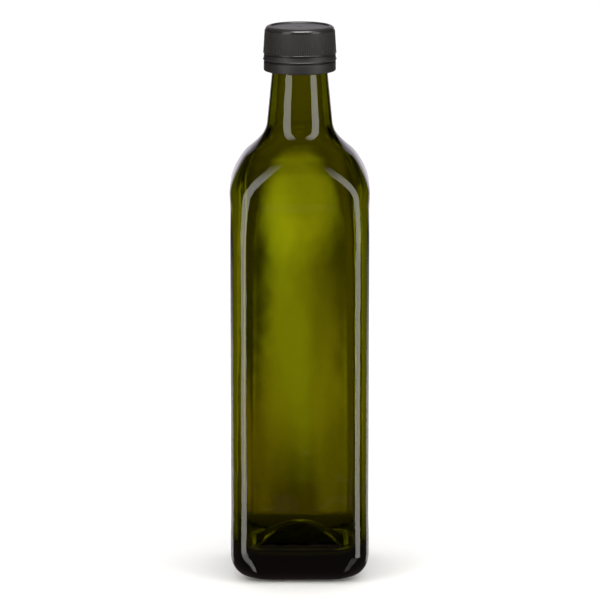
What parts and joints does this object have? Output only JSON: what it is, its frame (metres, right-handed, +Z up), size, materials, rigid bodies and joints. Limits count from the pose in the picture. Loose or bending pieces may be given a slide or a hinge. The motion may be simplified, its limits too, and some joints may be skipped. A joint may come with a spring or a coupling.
{
  "type": "liqueur bottle",
  "caption": "Empty square bottle of dark olive green glass with arched shoulders and a round tapered neck, shut by a ribbed black screw cap above a tamper-evident ring.",
  "frame": {"origin": "middle of the foot, on the plane that the bottle stands on", "axes": "+Z up along the neck, the front panel facing -Y and +X to the right as seen from the front"},
  "size_m": [0.0678, 0.0678, 0.2702],
  "materials": {
    "green_glass": "dark olive green bottle glass, clear and glossy, slightly wavy on the inside",
    "black_plastic": "moulded black plastic with a soft satin sheen"
  },
  "bodies": {
    "root": {"bottle": "green_glass", "cap": "black_plastic", "tamper_ring": "black_plastic"}
  },
  "joints": []
}
